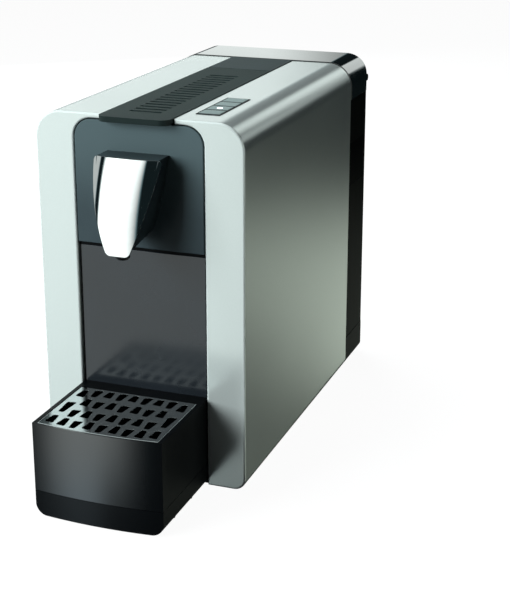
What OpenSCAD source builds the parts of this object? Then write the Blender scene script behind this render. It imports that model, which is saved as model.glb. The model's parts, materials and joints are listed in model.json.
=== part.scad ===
// Pod coffee machine: a narrow upright body between two silver side panels, a lever that closes the
// brew unit, a drawer with the drip tray and the used-pod bin, and a lift-off water tank behind.
// Lengths are in millimetres. X runs across, Y from the front to the rear, Z up.
// Every part is drawn with the front of the silver panels at Y = 0 and the table at Z = 0;
// to_origin() then moves it, so that the machine stands centred on the origin.

/* [Silver shell] */
// Width across the two silver side panels
body_w = 145; // [143:1:148]
// Height of the silver panels above the table
shell_top = 251.5; // [250.5:0.5:252]
// Height of the silver panels' lower edge above the table
shell_z = 2.5; // [2.5:0.5:3]
// Depth of the silver panels, front to rear
shell_d = 232; // [231.5:0.5:232.5]
// Radius of the long upper corners
top_r = 18; // [16:1:20]
// Radius of the long lower corners
foot_r = 8.5; // [8:0.5:9]
// Wall thickness of the silver mouldings
wall = 2.5; // [2.5:0.1:2.8]
// Half width of the opening between the two front pillars
pillar_x = 45.5; // [45.4:0.1:45.8]

/* [Lever] */
// Half width of the lever
lever_x = 24.8; // [24.4:0.1:24.8]
// Front tip of the lever, forward of the pillars
lever_tip = 9; // [6:1:12]
// Number of cross grooves in the lever's grip
lever_grooves = 18; // [0:1:18]
// Lever opening angle that the toggle is laid out for, in degrees
lever_open = 78; // [70:1:78]

/* [Drawer] */
// How far the drip tray stands out in front of the pillars
tray_out = 75; // [70:1:80]
// Width of the drip tray
tray_w = 90; // [89:0.5:90]
// Radius of the tray's bowed front
tray_bow = 340; // [280:10:500]
// Height of the tray's rim
tray_top = 65; // [64:0.5:66]
// Height of the seam between the tray and the base under it
tray_seam = 17.8; // [17.8:0.1:18]

/* [Water tank] */
// Depth of the tank behind the shell
tank_d = 49; // [47:1:52]
// Height of the ledge that the tank stands on
tank_z = 28; // [27:0.5:29]
// Height of the seam between the tank and its lid
lid_z = 223.7; // [222:0.1:224]

/* [Keys] */
// Number of keys beside the lever
key_count = 4; // [4:1:4]
// Travel of one key
key_travel = 1; // [0.8:0.1:1]

/* [Hidden] */
$fn = 64;

half_w = body_w / 2;
tank_back = shell_d + tank_d;
front_y = tray_out - (tray_out + tank_back) / 2;

// Heights and fits that several parts share
machine_top = 252;
floor_z = 7.5;
strip_z = shell_top - wall;
fit = 0.06;
gap = 0.3;
lap = 0.05;

// Lever pivot, and the toggle that drives the brew chamber
pivot = [168, 245.5];
brew_z = 192;
crank_r = 24;
link_y = 74;
pin_r = 2.5;
pivot_r = 3;
barrel_r = 14.3;
toggle_reach = norm([pivot[0] - link_y, pivot[1] - brew_z]);
crank_angle = atan2(brew_z - pivot[1], link_y - pivot[0]);
link_len = toggle_reach - crank_r;
crank = pivot + crank_r * [cos(crank_angle), sin(crank_angle)];
crank_open = pivot + crank_r * [cos(crank_angle - lever_open), sin(crank_angle - lever_open)];
brew_stroke = crank_open[0] - sqrt(pow(link_len, 2) - pow(crank_open[1] - brew_z, 2)) - link_y;

// Brew unit along Y
head_y = [4, 26];
chamber_y = [27, 62];
slot_y = [27.5, chamber_y[0] + brew_stroke];
slot_x = 21;
rear_tie_y = [127, 131];
port_y = 176;
coffee_z = 181;

// Drawer
rim_y = -8.7;
tray_floor = tray_seam + gap;
bin_top = 160;
bay_top = 164.5;

// Spout
spout_root = 0.2;
spout_top = [-17.4, 228];
spout_tip = [-33.5, 169];
spout_r = 165;
cover_t = 1.6;
cover_top_x = 23.6;
cover_tip_x = 7.6;
cover_side_r = 220;
wing_x = 16.6;
wing_angle = 26;

// Keypad
pad_x = [32, 48.5];
pad_y = [19.5, 75];
pad_rim = 0.7;
key_pitch = (pad_y[1] - pad_y[0] - pad_rim) / key_count;

// Centre of the arc of radius r from a to b, on the left of the way from a to b
function arc_centre(a, b, r) =
    let (half = (b - a) / 2, left = [-half[1], half[0]] / norm(half))
    a + half + left * sqrt(r * r - half * half);

// Where the arc of radius r about c stands at height z, on its +X side
function arc_x(c, r, z) = c[0] + sqrt(r * r - pow(z - c[1], 2));

spout_centre = arc_centre(spout_top, spout_tip, spout_r);
cover_centre = arc_centre([cover_tip_x, spout_tip[1]], [cover_top_x, spout_top[1]], cover_side_r);

module to_origin() translate([0, front_y, 0]) children();

module box(x, y, z) translate([x[0], y[0], z[0]]) cube([x[1] - x[0], y[1] - y[0], z[1] - z[0]]);

module span(x, y) translate([x[0], y[0]]) square([x[1] - x[0], y[1] - y[0]]);

// Prisms of a 2D outline: drawn as (X, Z), (Y, Z) or (X, Y) and drawn out over the range given
module along_y(y) translate([0, y[1], 0]) rotate([90, 0, 0]) linear_extrude(y[1] - y[0]) children();

module along_x(x) translate([x[0], 0, 0]) rotate([90, 0, 90]) linear_extrude(x[1] - x[0]) children();

module along_z(z) translate([0, 0, z[0]]) linear_extrude(z[1] - z[0]) children();

module both_sides() {
    children();
    mirror([1, 0, 0]) children();
}

// Rectangle with rounded lower and upper corners; a radius of 0 leaves a corner sharp
module rounded(x, y, low, high) {
    span(x, [y[0] + low, y[1] - high]);
    if (low > 0) {
        span([x[0] + low, x[1] - low], [y[0], y[0] + low]);
        for (cx = [x[0] + low, x[1] - low]) translate([cx, y[0] + low]) circle(low);
    }
    if (high > 0) {
        span([x[0] + high, x[1] - high], [y[1] - high, y[1]]);
        for (cx = [x[0] + high, x[1] - high]) translate([cx, y[1] - high]) circle(high);
    }
}

// Section across the silver shell, set in by the inset
module shell_section(inset = 0) {
    rounded([inset - half_w, half_w - inset], [shell_z + inset, shell_top - inset],
        foot_r - inset, top_r - inset);
}

// Opening between the pillars, grown outward
module front_opening(grow = 0) {
    rounded([-pillar_x - grow, pillar_x + grow], [-10, machine_top - 3.9 + grow], 0, 13 + grow);
}

// Plan of the bowed tray front, set in at the sides and the front and ending at the back line
module tray_plan(side, front, back) {
    intersection() {
        translate([0, tray_bow - tray_out]) circle(tray_bow - front, $fn = 360);
        span([side - tray_w / 2, tray_w / 2 - side], [-tray_out - 5, back]);
    }
}

// Quarter bend of a pipe at corner p, coming in along unit vector a and leaving along b
module bend(p, a, b, r, r_bend) {
    c = p - r_bend * a + r_bend * b;
    z = cross(-b, a);
    multmatrix([
        [-b[0], a[0], z[0], c[0]], [-b[1], a[1], z[1], c[1]], [-b[2], a[2], z[2], c[2]], [0, 0, 0, 1]
    ]) rotate_extrude(angle = 90) translate([r_bend, 0]) circle(r);
}

// Straight pipe from a to b, which lie along one axis
module straight(a, b, r) {
    d = b - a;
    turn = d[0] != 0 ? [0, sign(d[0]) * 90, 0] : d[1] != 0 ? [-sign(d[1]) * 90, 0, 0]
        : [d[2] > 0 ? 0 : 180, 0, 0];
    translate(a) rotate(turn) cylinder(h = norm(d), r = r);
}

// Pipe through points that follow the axes, with a quarter bend at each corner
module pipe(points, r, r_bend) {
    last = len(points) - 1;
    way = [for (i = [0 : last - 1]) (points[i + 1] - points[i]) / norm(points[i + 1] - points[i])];
    for (i = [0 : last - 1])
        straight(points[i] + (i == 0 ? 0 : r_bend) * way[i],
            points[i + 1] - (i == last - 1 ? 0 : r_bend) * way[i], r);
    for (i = [1 : last - 1]) bend(points[i], way[i - 1], way[i], r, r_bend);
}

// ---- Base and housing ----

module base_pan() color([0.1, 0.11, 0.12]) {
    difference() {
        union() {
            // Floor between the silver panels, and the part that laps over their lower edges
            box([-51.8, 51.8], [3, shell_d + 3], [shell_z, 5]);
            box([-64, 64], [3, 231.5], [5, floor_z]);
            // Rails that carry the drawer
            both_sides() box([38, 42], [3, 112], [floor_z - 1, tray_seam]);
            // Bosses for the screws that hold the silver panels
            for (x = [-60, 60], y = screw_y) translate([x, y, floor_z - 1]) cylinder(h = 9, r = 4);
        }
        for (x = [-60, 60], y = screw_y) translate([x, y, 0]) cylinder(h = 15, r = 1.5);
        // Air slots under the pump and the boiler
        for (y = [132 : 10 : 212]) box([-32, 32], [y, y + 4], [0, 10]);
        foot_holes();
        return_notch([4.2, floor_z + 1]);
    }
}

// Room for the returns of the silver panels' front edges
module return_notch(z) both_sides() box([pillar_x - 0.3, pillar_x + 1.8], [2.5, 10.3], z);

screw_y = [40, 198];
frame_screw_y = [18, 104];
cord_x = -45;
cord_z = 14;
cord_r = 3.6;

// Fixed base under the sliding tray: an open pan with cross ribs
module tray_plinth() color([0.09, 0.1, 0.11]) difference() {
    union() {
        difference() {
            intersection() {
                along_z([1, tray_seam]) tray_plan(0, 0, 3);
                along_y([-90, 3]) rounded([-tray_w / 2 - lap, tray_w / 2 + lap], [1, 40], 8, 0);
            }
            intersection() {
                along_z([3.5, 30]) tray_plan(2.5, 2.5, 1);
                along_y([-90, 3])
                    rounded([2.5 - lap - tray_w / 2, tray_w / 2 - 2.5 + lap], [3.5, 40], 5.5, 0);
            }
        }
        for (x = [-24, 0, 24]) box([x - 0.8, x + 0.8], [-71, 2], [3, 12]);
        for (y = [-50, -22]) box([-43, 43], [y - 0.8, y + 0.8], [3, 12]);
    }
    foot_holes();
}

// Ledge that the tank stands on, open below between its ribs; it sits on the tongue of the base
module tank_ledge() color([0.09, 0.1, 0.11]) {
    difference() {
        intersection() {
            along_y([shell_d + gap, tank_back]) shell_section();
            along_z([0, tank_z]) tank_plan(0);
        }
        difference() {
            intersection() {
                along_y([shell_d + 3, tank_back - 3]) shell_section(3);
                along_z([-1, tank_z - 3]) tank_plan(3);
                box([-64, 64], [shell_d, tank_back], [-1, tank_z]);
            }
            for (x = [-52, 52]) translate([x, 258, 0]) cylinder(h = tank_z, r = 10);
            for (x = [-26, 26]) box([x - 1, x + 1], [shell_d, tank_back], [shell_z + 4, tank_z]);
            translate([cord_x, tank_back - 14, cord_z]) rotate([-90, 0, 0]) cylinder(h = 14, r = cord_r + 5);
        }
        translate([0, valve_y, 17]) cylinder(h = 20, r = 11);
        straight([0, shell_d - 4, hose_z], [0, shell_d + 10, hose_z], 4);
        box([-51.8, 51.8], [shell_d, shell_d + 3], [0, 5]);
        foot_holes();
        translate([cord_x, tank_back - 14, cord_z]) rotate([-90, 0, 0]) cylinder(h = 20, r = cord_r + 2.4);
    }
}

valve_y = 257;
hose_z = 14;

// Plan of the tank and of what lines up with it: rounded at the rear corners
module tank_plan(inset) {
    rounded([inset - half_w, half_w - inset], [shell_d + gap + inset, tank_back - inset], 1.5, 6 - inset);
}

// Rubber feet, one at each place where the base is solid
module foot_pads(r_pad, r_stem, lift) {
    for (x = [-42, 42], y = [22, 216]) translate([x, y, lift]) {
        cylinder(h = shell_z - lift, r = r_pad);
        cylinder(h = 4.6, r = r_stem);
    }
    for (x = [-52, 52]) translate([x, 258, lift]) {
        cylinder(h = shell_z - lift, r = r_pad);
        cylinder(h = 8, r = r_stem);
    }
    for (x = [-30, 30]) translate([x, -36, lift]) {
        cylinder(h = 1.8, r = r_pad - 1);
    }
}

module foot_holes() foot_pads(8, 2.5, 0);

module feet() color([0.16, 0.16, 0.17]) foot_pads(8, 2.5, 0);

// Tub that the drawer slides into; its ceiling carries the brew unit and the boiler
module drawer_bay() color([0.2, 0.21, 0.22]) {
    difference() {
        union() {
            both_sides() box([47.6, 49.6], [3, 118], [floor_z, bay_top]);
            box([-49.6, 49.6], [116, 118], [floor_z, bay_top]);
            box([-49.6, 49.6], [3, 118], [bay_top - 2.2, bay_top]);
            box([-42, 42], [117, 224], [bay_top - 2.2, bay_top]);
            // Posts that hold the boiler under the ceiling
            for (x = [-14, 14], y = [140, 204]) translate([x, y, 150]) cylinder(h = 13, r = 4);
            // Ribs under the rear of the ceiling
            for (x = [-30, 30]) box([x - 1, x + 1], [118, 224], [bay_top - 8, bay_top]);
        }
        box([-25, 25], [28, 74], [150, 170]);
        return_notch([bay_top - 3, bay_top + 1]);
        for (x = [-37, 37], y = frame_screw_y) translate([x, y, 150]) cylinder(h = 20, r = 1.6);
        for (x = [-14, 14], y = [140, 204]) translate([x, y, 149]) cylinder(h = 20, r = 1.5);
        straight([0, 196, 150], [0, 196, 170], 5);
    }
}

// Right-hand silver moulding without its cut-outs
module side_moulding() {
    difference() {
        intersection() {
            along_y([0, shell_d]) shell_section();
            union() {
                box([lever_x + 0.5, half_w], [0, shell_d], [100, 300]);
                box([pillar_x, half_w], [0, flange_t], [0, 120]);
                box([52, half_w], [0, shell_d], [0, 120]);
            }
        }
        along_y([flange_t, shell_d + 1]) shell_section(wall);
        along_y([-1, shell_d]) front_opening();
        for (y = screw_y) translate([60, y, 0]) cylinder(h = 8, r = 1.7);
    }
    // Return of the opening's edge
    along_y([flange_t - 0.5, 10]) intersection() {
        difference() {
            front_opening(1.5);
            front_opening();
        }
        span([40, 50], [shell_z + 2, 235]);
    }
    // Ribs that stiffen the tall wall
    for (y = [32, 82, 132, 182]) box([half_w - wall - 3, half_w - 1], [y - 0.8, y + 0.8], [22, 224]);
    for (z = [70, 150]) box([half_w - wall - 2, half_w - 1], [14, 222], [z - 0.8, z + 0.8]);
}

flange_t = 2.6;

module side_panel_left() color([0.72, 0.76, 0.75]) mirror([1, 0, 0]) side_moulding();

module side_panel_right() color([0.72, 0.76, 0.75]) {
    difference() {
        side_moulding();
        box(pad_x, pad_y, [230, 260]);
    }
    // Posts that hold the control board
    for (y = [134, 212], z = [72, 190]) translate([58.6, y, z]) rotate([0, 90, 0]) cylinder(h = 12, r = 3);
}

// Wall that closes the shell behind; the tank stands against it
module rear_wall() color([0.12, 0.13, 0.14]) {
    difference() {
        along_y([228.5, 231.5]) intersection() {
            shell_section(wall);
            span([-80, 80], [floor_z, 260]);
        }
        straight([0, 220, hose_z], [0, 240, hose_z], 3.6);
        // Air slots behind the boiler
        for (x = [-30 : 10 : 30]) along_y([220, 240]) rounded([x - 2, x + 2], [176, 214], 1.9, 1.9);
    }
    // Ribs that stiffen the wall
    for (x = [-50, 50]) box([x - 1.5, x + 1.5], [220, 229], [40, 220]);
}

module front_panel() color([0.25, 0.29, 0.31]) {
    difference() {
        union() {
            along_y([spout_root, 2.8]) front_outline(0);
            along_y([2.8, 9]) difference() {
                front_outline(1.6);
                front_outline(3.4);
            }
            for (x = [-36, 36]) box([x - 0.8, x + 0.8], [2.5, 7], [168, 234]);
        }
        straight([0, -2, coffee_z], [0, 12, coffee_z], 4);
    }
}

module front_outline(inset) {
    rounded([inset - 44.8, 44.8 - inset], [bay_top + 0.1 + inset, 247.4 - inset], 0, 12.3 - inset);
}

// ---- Spout ----

// Everything behind the spout's bowed face, set back
module spout_arc(back) {
    along_x([-60, 60]) intersection() {
        translate(spout_centre) circle(spout_r - back, $fn = 360);
        span([-60, 40], [150, 250]);
    }
}

// Front view of the chrome cover: bowed sides that close in to a rounded tip
module cover_outline(inset) {
    tip_z = spout_tip[1];
    corner = 2.6;
    tip_x = arc_x(cover_centre, cover_side_r, tip_z + corner) - inset;
    intersection() {
        translate(cover_centre) circle(cover_side_r - inset, $fn = 360);
        translate([-cover_centre[0], cover_centre[1]]) circle(cover_side_r - inset, $fn = 360);
        union() {
            span([-40, 40], [tip_z + corner, spout_top[1]]);
            rounded([-tip_x, tip_x], [tip_z, tip_z + 2 * corner], corner, 0);
        }
    }
}

// Bowed face with both wings turned back along their creases, set back
module spout_face(back) {
    crease = [wing_x, spout_top[0] - 3.4, 218];
    lean = [-0.8, -10, -34];
    intersection() {
        spout_arc(back);
        for (s = [1, -1]) scale([s, 1, 1])
            translate(crease) rotate(-wing_angle, lean) translate(-crease) spout_arc(back);
    }
}

module spout_cover() color([0.85, 0.86, 0.87]) difference() {
    intersection() {
        spout_face(0);
        along_y([-50, -6]) cover_outline(0);
    }
    spout_face(cover_t);
}

module spout_housing() color([0.22, 0.26, 0.28]) difference() {
    intersection() {
        spout_face(cover_t);
        along_y([-50, spout_root]) cover_outline(2.2);
        along_x([-30, 30]) polygon([
            [spout_root, 178], [-18, 173], [spout_tip[0] + 3, spout_tip[1] + 1], [-60, 160], [-60, 240],
            spout_top, [spout_root, 230.5]
        ]);
    }
    // Coffee passage, forward and then down into the nozzle
    straight([0, 2, coffee_z], [0, nozzle_y, coffee_z], 3);
    straight([0, nozzle_y, coffee_z], [0, nozzle_y, 160], 2.6);
    straight([0, nozzle_y, 174], [0, nozzle_y, 160], 4.6);
}

nozzle_y = -26;

module spout_nozzle() color([0.08, 0.08, 0.09]) translate([0, nozzle_y, 0]) rotate_extrude() {
    span([2.6, 4.6], [166, 174]);
    span([2.6, 3.6], [165, 166]);
}

// ---- Lever and brew unit ----

// Well under the lever, with the slot that the pod drops through
module top_channel() color([0.09, 0.09, 0.1]) {
    inner = lever_x + 0.5;
    difference() {
        union() {
            both_sides() box([inner, inner + 1.5], [9.4, 183], [228, strip_z]);
            box([-inner, inner], [9.4, 118], [236, 238]);
            box([-inner, inner], [9.4, 11], [236, 244]);
            box([-inner, inner], [116.4, 118], [231.5, 238]);
            // Chute that guides the pod down to the brew chamber
            box([-slot_x - 1.5, slot_x + 1.5], slot_y + [-1.5, 1.5], [217, 237]);
            // Raised lip round the slot
            box([-slot_x - 1.5, slot_x + 1.5], slot_y + [-1.5, 1.5], [237, 239]);
        }
        box([-slot_x, slot_x], slot_y, [210, 250]);
        translate([-40, pivot[0], pivot[1]]) rotate([0, 90, 0]) cylinder(h = 80, r = pivot_r + 0.3);
    }
}

// Fixed cover behind the lever; its front edge follows the sweep of the lever's barrel
module hinge_cover() color([0.2, 0.23, 0.23]) {
    difference() {
        union() {
            box([-lever_x, lever_x], [176, shell_d - 0.2], [249, machine_top]);
            box([-lever_x, lever_x], [176, 187], [238, machine_top]);
            both_sides() box([lever_x - 2, lever_x], [186, 228], [238, 250]);
            // Ears that hold it under the silver panels
            both_sides() box([lever_x - 1, 31], [198, 220], [strip_z - 2, strip_z]);
        }
        about_pivot([-40, 40]) circle(barrel_r + 0.5);
        box([2.5 - lever_x, lever_x - 2.5], [187, 228.5], [230, 249.4]);
        box([-40, 40], [170, pivot[0] + barrel_r - 3], [230, 249]);
    }
}

// The lever's thicker nose, and the grooves across its grip
lever_nose_z = 248.3;
lever_nose_y = -2.4;
groove_start = 12;
groove_pitch = 8;
groove_size = [11, 3.2, 1.2];

// Prism along X of an outline drawn round the lever's pivot
module about_pivot(x) along_x(x) translate(pivot) children();

module lever() color([0.24, 0.28, 0.27]) {
    difference() {
        union() {
            // Top plate, rounded at its front corners and about the pivot at its rear end
            intersection() {
                along_z([lever_nose_z, machine_top])
                    rounded([-lever_x, lever_x], [-lever_tip, pivot[0] + barrel_r], 7, 0);
                union() {
                    box([-30, 30], [-20, pivot[0]], [249, 260]);
                    // Thicker nose in front of the machine, where fingers get hold
                    box([-30, 30], [-20, lever_nose_y], [240, 260]);
                    about_pivot([-30, 30]) circle(barrel_r);
                }
            }
            // Barrel that closes the gap behind while the lever turns
            intersection() {
                about_pivot([-lever_x, lever_x]) difference() {
                    circle(barrel_r);
                    circle(barrel_r - 2.2);
                }
                box([-30, 30], [pivot[0], 200], [220, machine_top - 1]);
            }
            // Cheeks with the crank arms, and the hub between them
            both_sides() along_x([lever_x - 4.4, lever_x - 0.4]) lever_cheek();
            about_pivot([0.4 - lever_x, lever_x - 0.4]) circle(6);
            // Side skirts, front lip and ribs under the plate
            both_sides() box([lever_x - 3.5, lever_x - 1.5], [14, 158], [243.5, 249.5]);
            box([-21, 21], [-2.6, -0.4], [247.2, 249.5]);
            for (y = [18 : 24 : 138]) box([3 - lever_x, lever_x - 3], [y - 0.8, y + 0.8], [245, 249.5]);
            for (x = [-8, 8]) box([x - 0.8, x + 0.8], [4, 150], [246.5, 249.5]);
        }
        about_pivot([-40, 40]) circle(pivot_r + fit);
        along_x([-40, 40]) translate(crank) circle(pin_r);
        // Plain cross grooves for the fingertips
        for (i = [0 : 1 : lever_grooves - 1])
            translate([0, groove_start + groove_pitch * i, 0])
                box([-groove_size[0], groove_size[0]], [0, groove_size[1]],
                    [machine_top - groove_size[2], machine_top + 1]);
    }
}

// Side view of one cheek: a disc about the pivot and an arm to the crank pin
module lever_cheek() {
    difference() {
        union() {
            translate(pivot) circle(barrel_r - 0.5);
            translate(crank) circle(6);
            polygon([
                pivot + [-8, 5], pivot + [6, -12], crank + [3.5, -5], crank + [-5.2, -3], crank + [-4, 16]
            ]);
        }
        span([100, 200], [machine_top - 1.5, 270]);
    }
}

module lever_pin() color([0.75, 0.76, 0.78])
    about_pivot([-31.5, 31.5]) circle(pivot_r);

module crank_pin() color([0.75, 0.76, 0.78])
    along_x([0.4 - lever_x, lever_x - 0.4]) translate(crank) circle(pin_r);

// Two toggle plates between the lever's cheeks
module toggle_links() color([0.62, 0.63, 0.65]) {
    eye = [link_y, brew_z];
    way = (crank - eye) / link_len;
    across = [-way[1], way[0]];
    both_sides() along_x([15.6, 19.2]) difference() {
        union() {
            translate(eye) circle(5.5);
            translate(crank) circle(6);
            polygon([eye - 4 * across, crank - 4 * across, crank + 4 * across, eye + 4 * across]);
        }
        translate(eye) circle(pin_r);
        translate(crank) circle(pin_r + fit);
        // Lightening slot
        polygon([
            eye + 12 * way - 1.6 * across, crank - 14 * way - 1.6 * across,
            crank - 14 * way + 1.6 * across, eye + 12 * way + 1.6 * across
        ]);
    }
}

// One stub on each side, clear of the water tube between them
module link_pin() color([0.75, 0.76, 0.78])
    both_sides() along_x([10.6, 19.2]) translate([link_y, brew_z]) circle(pin_r);

// Carriage that pushes the pod against the brew head, with its water tube behind
module brew_chamber() color([0.32, 0.33, 0.35]) {
    difference() {
        union() {
            translate([0, chamber_y[0], brew_z]) rotate([-90, 0, 0]) rotate_extrude() chamber_section();
            // Ears for the toggle pin
            both_sides() along_x([11, 15]) union() {
                span([58, 84], [brew_z - 7, brew_z + 7]);
                translate([84, brew_z]) circle(7);
            }
            // Lugs that run in the frame's slots
            both_sides() along_x([17.5, 31.2]) rounded([40, 56], [brew_z - 3, brew_z + 3], 2.9, 2.9);
        }
        // Slots that let the pin wander in mid travel
        both_sides() along_x([10, 16])
            rounded([link_y - 10.2, link_y + 3], [brew_z - 4, brew_z + 2.6], 3, 2.5);
        // Reliefs that the eyes of the toggle plates turn in
        both_sides() box([15.2, 21], [60.2, 63], [brew_z - 8, brew_z + 8]);
        straight([0, 55, brew_z], [0, 150, brew_z], 1.6);
    }
    // Hollow needles that pierce the pod
    for (a = [90, 210, 330]) translate([9 * cos(a), 53, brew_z + 9 * sin(a)])
        rotate([-90, 0, 0]) cylinder(h = 5, r1 = 0.3, r2 = 1.4, $fn = 16);
}

// Half section of the chamber: (radius, depth behind its rim)
module chamber_section() {
    depth = chamber_y[1] - chamber_y[0];
    difference() {
        union() {
            span([0, 23], [0, 5]);
            span([0, 20], [0, depth]);
            span([0, 9], [depth, depth + 5]);
            span([0, 4], [depth, 112]);
        }
        polygon([[-1, -1], [19, -1], [19, 1.5], [15.4, 1.5], [12.6, 27], [10, 30], [-1, 30]]);
    }
}

// Cheeks of the brew unit with the guide slots, tied together behind
module brew_frame() color([0.5, 0.51, 0.53]) {
    difference() {
        union() {
            both_sides() along_x([27.5, 31.2]) frame_cheek();
            box([-28, 28], rear_tie_y, [bay_top, 204]);
            // Feet on the ceiling of the drawer's tub
            both_sides() for (y = [10, 96]) box([31, 42], [y, y + 16], [bay_top, bay_top + 3]);
            // Stiffener above the guide slot
            both_sides() box([31, 34], [36, 98], [brew_z + 5, brew_z + 7]);
        }
        straight([0, 100, brew_z], [0, 150, brew_z], 4 + fit);
        rim_notch();
        both_sides() for (y = frame_screw_y) translate([37, y, 150]) cylinder(h = 30, r = 1.6);
        // Open seats that the lever's pin drops into; the silver flange above holds it down
        about_pivot([-40, 40]) {
            circle(pivot_r);
            span([-pivot_r, pivot_r], [0, 10]);
        }
    }
}

// Room for the lower rim of the front panel
module rim_notch() box([-44, 44], [2, 9.3], [bay_top + 1.4, bay_top + 3.8]);

module frame_cheek() {
    difference() {
        union() {
            polygon([
                [4, bay_top], [150, bay_top], [pivot[0] + 12, 205], [pivot[0] + 12, 243.5],
                [pivot[0] + 8, 248.5], [pivot[0] - 8, 248.5], [146, 234.5], [4, 234.5]
            ]);
        }
        // Guide slot of the brew chamber
        rounded([40 - fit, 56 + brew_stroke + 0.5], [brew_z - 3 - fit, brew_z + 3 + fit], 2.9, 2.9);
        // Openings that lighten the cheek
        rounded([100, 146], [172, 184], 4, 4);
        rounded([16, 90], [170, 181], 4, 4);
        rounded([106, 150], [204, 226], 4, 4);
    }
}

// Fixed head that the pod is pressed against; the coffee leaves it toward the spout
module brew_head() color([0.13, 0.13, 0.14]) {
    difference() {
        union() {
            box([-27.5, 27.5], [4, 12], [bay_top, 222]);
            translate([0, head_y[0], brew_z]) rotate([-90, 0, 0]) cylinder(h = head_y[1] - head_y[0], r = 22.5);
            box([-10, 10], [10, 24], [bay_top, 178]);
            straight([0, 4, coffee_z], [0, spout_root, coffee_z], 3.6);
        }
        // Seat of the seal, and the dished plate with its channels
        translate([0, head_y[1], brew_z]) rotate([90, 0, 0]) rotate_extrude() {
            span([16.4, 20.6], [-1, 1.6]);
            span([0, 14], [-1, 1]);
        }
        straight([0, 30, coffee_z], [0, -2, coffee_z], 2.6);
        rim_notch();
        for (x = [-9, -4.5, 4.5, 9]) box([x - 0.8, x + 0.8], [24, 28], [brew_z - 9, brew_z + 9]);
    }
}

module head_seal() color([0.7, 0.2, 0.15])
    translate([0, head_y[1], brew_z]) rotate([90, 0, 0]) rotate_extrude()
        span([16.5, 20.5], [-0.6, 1.6]);

// Fixed sleeve that the chamber's water tube slides in
module inlet_sleeve() color([0.72, 0.6, 0.35]) {
    difference() {
        union() {
            straight([0, rear_tie_y[1], brew_z], [0, port_y + 6, brew_z], 6.5);
            straight([0, rear_tie_y[1], brew_z], [0, rear_tie_y[1] + 3, brew_z], 10);
            straight([0, port_y, brew_z], [0, port_y, brew_z + 12], 4.5);
        }
        straight([0, 120, brew_z], [0, port_y + 2.5, brew_z], 4 + fit);
        straight([0, port_y, brew_z], [0, port_y, brew_z + 20], 1.5);
    }
}

// ---- Water and electrics ----

module boiler() color([0.6, 0.61, 0.62]) {
    difference() {
        union() {
            along_y([130, 216]) rounded([-24, 24], [104, 146], 8, 8);
            for (y = [134 : 8 : 214]) along_y([y, y + 2.4]) rounded([-29, 29], [107, 143], 6, 6);
            for (x = [-14, 14], y = [140, 204]) translate([x, y, 140]) cylinder(h = 10, r = 5);
            // Heater terminals in front, water nipples behind and on top
            for (x = [-15, 15]) straight([x, 132, 112], [x, 122, 112], 3.2);
            straight([0, 214, 114], [0, 222, 114], 3);
            straight([0, 222, 108], [0, 222, 117], 3);
            straight([0, 196, 144], [0, 196, 152], 3);
        }
        straight([0, 210, 114], [0, 222, 114], 1.4);
        straight([0, 222, 107], [0, 222, 114], 1.4);
        straight([0, 196, 140], [0, 196, 153], 1.4);
        for (x = [-14, 14], y = [140, 204]) translate([x, y, 144]) cylinder(h = 7, r = 1.5);
    }
    // Thermostat
    translate([0, 168, 145]) cylinder(h = 6, r = 8);
}

pump_z = 50;

module pump() color([0.2, 0.22, 0.25]) {
    straight([0, 136, pump_z], [0, 206, pump_z], 11);
    along_y([152, 192]) rounded([-19, 19], [pump_z - 18, pump_z + 18], 4, 4);
    for (y = [150, 192]) box([-21, 21], [y, y + 2], [pump_z - 20, pump_z + 20]);
    straight([0, 206, pump_z], [0, 216, pump_z], 3.4);
    straight([0, 136, pump_z], [0, 130, pump_z], 3.4);
    box([-6, 6], [166, 178], [pump_z + 17, pump_z + 24]);
}

// Rubber saddles that keep the pump's beat off the base
module pump_mounts() color([0.12, 0.12, 0.12]) {
    for (y = [139, 197]) difference() {
        along_y([y, y + 7]) rounded([-15, 15], [floor_z, pump_z + 6], 0, 4);
        straight([0, y - 1, pump_z], [0, y + 8, pump_z], 11);
        box([-9, 9], [y - 1, y + 8], [pump_z + 2, pump_z + 8]);
        for (x = [-8, 8]) box([x - 3, x + 3], [y - 1, y + 8], [floor_z + 4, floor_z + 14]);
    }
}

meter_z = 28;

module flow_meter() color([0.55, 0.6, 0.62]) {
    translate([-46, 208, meter_z - 6]) cylinder(h = 12, r = 11);
    translate([-46, 208, meter_z + 6]) cylinder(h = 3, r = 8);
    box([-53, -39], [201, 215], [floor_z, meter_z - 5]);
    straight([-36, 208, meter_z], [-28, 208, meter_z], 3);
    straight([-46, 198, meter_z], [-46, 190, meter_z], 3);
}

module control_board() color([0.1, 0.35, 0.22]) {
    box([57, 58.6], [126, 220], [64, 198]);
    // Relay, transformer, capacitors and terminal blocks
    box([43, 57], [134, 154], [160, 188]);
    box([37, 57], [166, 200], [92, 124]);
    for (z = [136, 150]) translate([57, 208, z]) rotate([0, -90, 0]) cylinder(h = 16, r = 5);
    for (y = [130 : 12 : 178]) box([47, 57], [y, y + 9], [68, 80]);
}

hose_r = 3.6;

// Tank outlet to the flow meter, flow meter to the pump, pump to the boiler, boiler to the sleeve
module suction_hose() color([0.8, 0.82, 0.8])
    pipe([[0, valve_y - 11, hose_z], [0, 222, hose_z], [-20, 222, hose_z], [-20, 208, hose_z],
        [-20, 208, meter_z], [-28, 208, meter_z]], hose_r, 6);

module feed_hose() color([0.8, 0.82, 0.8])
    pipe([[-46, 190, meter_z], [-46, 124, meter_z], [-46, 124, pump_z], [0, 124, pump_z], [0, 130, pump_z]],
        hose_r, 4);

module pressure_hose() color([0.85, 0.85, 0.82])
    pipe([[0, 216, pump_z], [0, 222, pump_z], [0, 222, 108]], hose_r, 5);

module hot_hose() color([0.85, 0.85, 0.82])
    pipe([[0, 196, 152], [0, 196, brew_z + 20], [0, port_y, brew_z + 20], [0, port_y, brew_z + 12]],
        hose_r, 6);

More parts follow.
